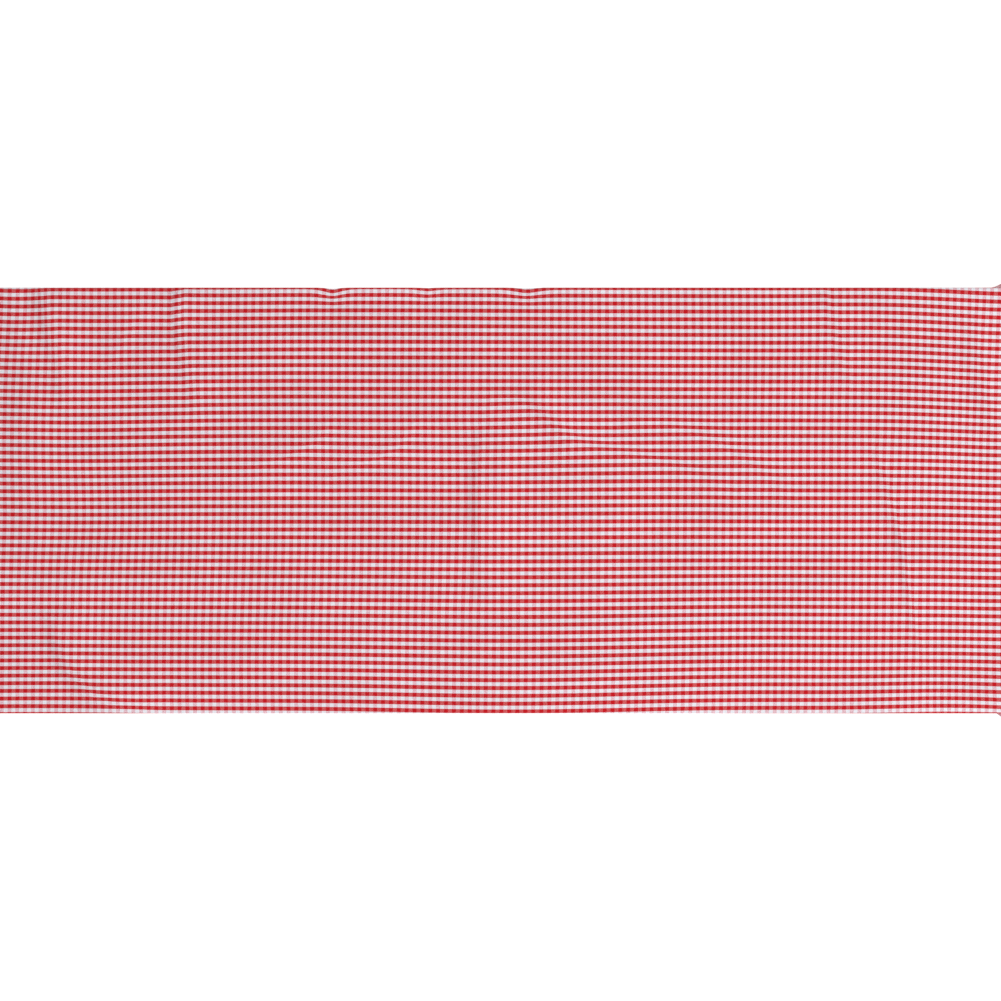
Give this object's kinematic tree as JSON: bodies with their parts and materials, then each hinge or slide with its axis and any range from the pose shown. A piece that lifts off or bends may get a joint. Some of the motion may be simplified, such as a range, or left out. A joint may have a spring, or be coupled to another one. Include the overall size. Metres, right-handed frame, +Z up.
{
  "type": "tablecloth on a table",
  "caption": "Red and white gingham tablecloth in the shape that a rectangular table gives it, flat on top, with hanging sides and corner folds.",
  "frame": {"origin": "middle of the table top that the cloth rests on, on the underside of the cloth's flat top", "axes": "+X along the table's length, +Y from the front edge to the back edge, +Z up"},
  "size_m": [1.5966, 0.6816, 0.2579],
  "materials": {
    "gingham": "matte",
    "hem_gingham": "matte",
    "sewing_thread": "satin"
  },
  "bodies": {
    "root": {"top_panel": "gingham", "front_drop": "gingham", "back_drop": "gingham", "left_drop": "gingham", "right_drop": "gingham", "corner_fold_front_left": "gingham", "corner_fold_front_right": "gingham", "corner_fold_back_left": "gingham", "corner_fold_back_right": "gingham", "front_hem": "hem_gingham", "back_hem": "hem_gingham", "left_hem": "hem_gingham", "right_hem": "hem_gingham", "front_hem_needle_thread": "sewing_thread", "back_hem_needle_thread": "sewing_thread", "left_hem_needle_thread": "sewing_thread", "right_hem_needle_thread": "sewing_thread", "front_hem_bobbin_thread": "sewing_thread", "back_hem_bobbin_thread": "sewing_thread", "left_hem_bobbin_thread": "sewing_thread", "right_hem_bobbin_thread": "sewing_thread"}
  },
  "joints": []
}
